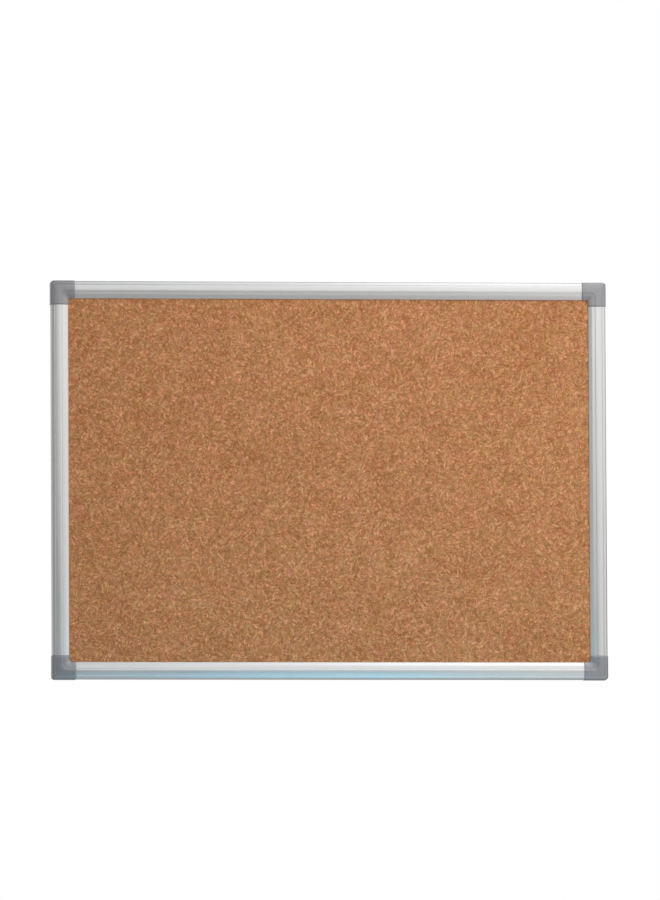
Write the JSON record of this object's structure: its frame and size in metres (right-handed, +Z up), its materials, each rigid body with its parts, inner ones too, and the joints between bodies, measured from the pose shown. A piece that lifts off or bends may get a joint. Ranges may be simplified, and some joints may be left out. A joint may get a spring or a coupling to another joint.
{
  "type": "cork bulletin board",
  "caption": "Wall-hung cork notice board: softboard panel faced with cork in an aluminium frame, with grey moulded corner caps that pull off to reach the wall screws.",
  "frame": {"origin": "centre of the four wall screw holes, on the wall plane at the back of the corner joiners", "axes": "+X to the right as the cork is seen from the front, +Z up, -Y out of the cork face and +Y into the wall"},
  "size_m": [0.7, 0.0176, 0.5],
  "materials": {
    "cork": "matte",
    "softboard": "matte",
    "liner_paper": "matte",
    "rail_aluminium": "satin",
    "joiner_plastic": "matte",
    "cap_plastic": "satin",
    "screw_steel": "satin"
  },
  "bodies": {
    "board": {"cork_sheet": "cork", "softboard_core": "softboard", "back_liner": "liner_paper", "rail_top": "rail_aluminium", "rail_bottom": "rail_aluminium", "rail_left": "rail_aluminium", "rail_right": "rail_aluminium", "corner_joiner_tl": "joiner_plastic", "corner_joiner_tr": "joiner_plastic", "corner_joiner_bl": "joiner_plastic", "corner_joiner_br": "joiner_plastic", "joiner_screws": "screw_steel"},
    "cap_tl": {"corner_cap_tl": "cap_plastic"},
    "cap_tr": {"corner_cap_tr": "cap_plastic"},
    "cap_bl": {"corner_cap_bl": "cap_plastic"},
    "cap_br": {"corner_cap_br": "cap_plastic"}
  },
  "joints": [
    {"name": "cap_tl_pull", "type": "slide", "parent": "board", "child": "cap_tl", "axis": [0, -1, 0], "range_m": [0, 0.012]},
    {"name": "cap_tr_pull", "type": "slide", "parent": "board", "child": "cap_tr", "axis": [0, -1, 0], "range_m": [0, 0.012]},
    {"name": "cap_bl_pull", "type": "slide", "parent": "board", "child": "cap_bl", "axis": [0, -1, 0], "range_m": [0, 0.012]},
    {"name": "cap_br_pull", "type": "slide", "parent": "board", "child": "cap_br", "axis": [0, -1, 0], "range_m": [0, 0.012]}
  ]
}
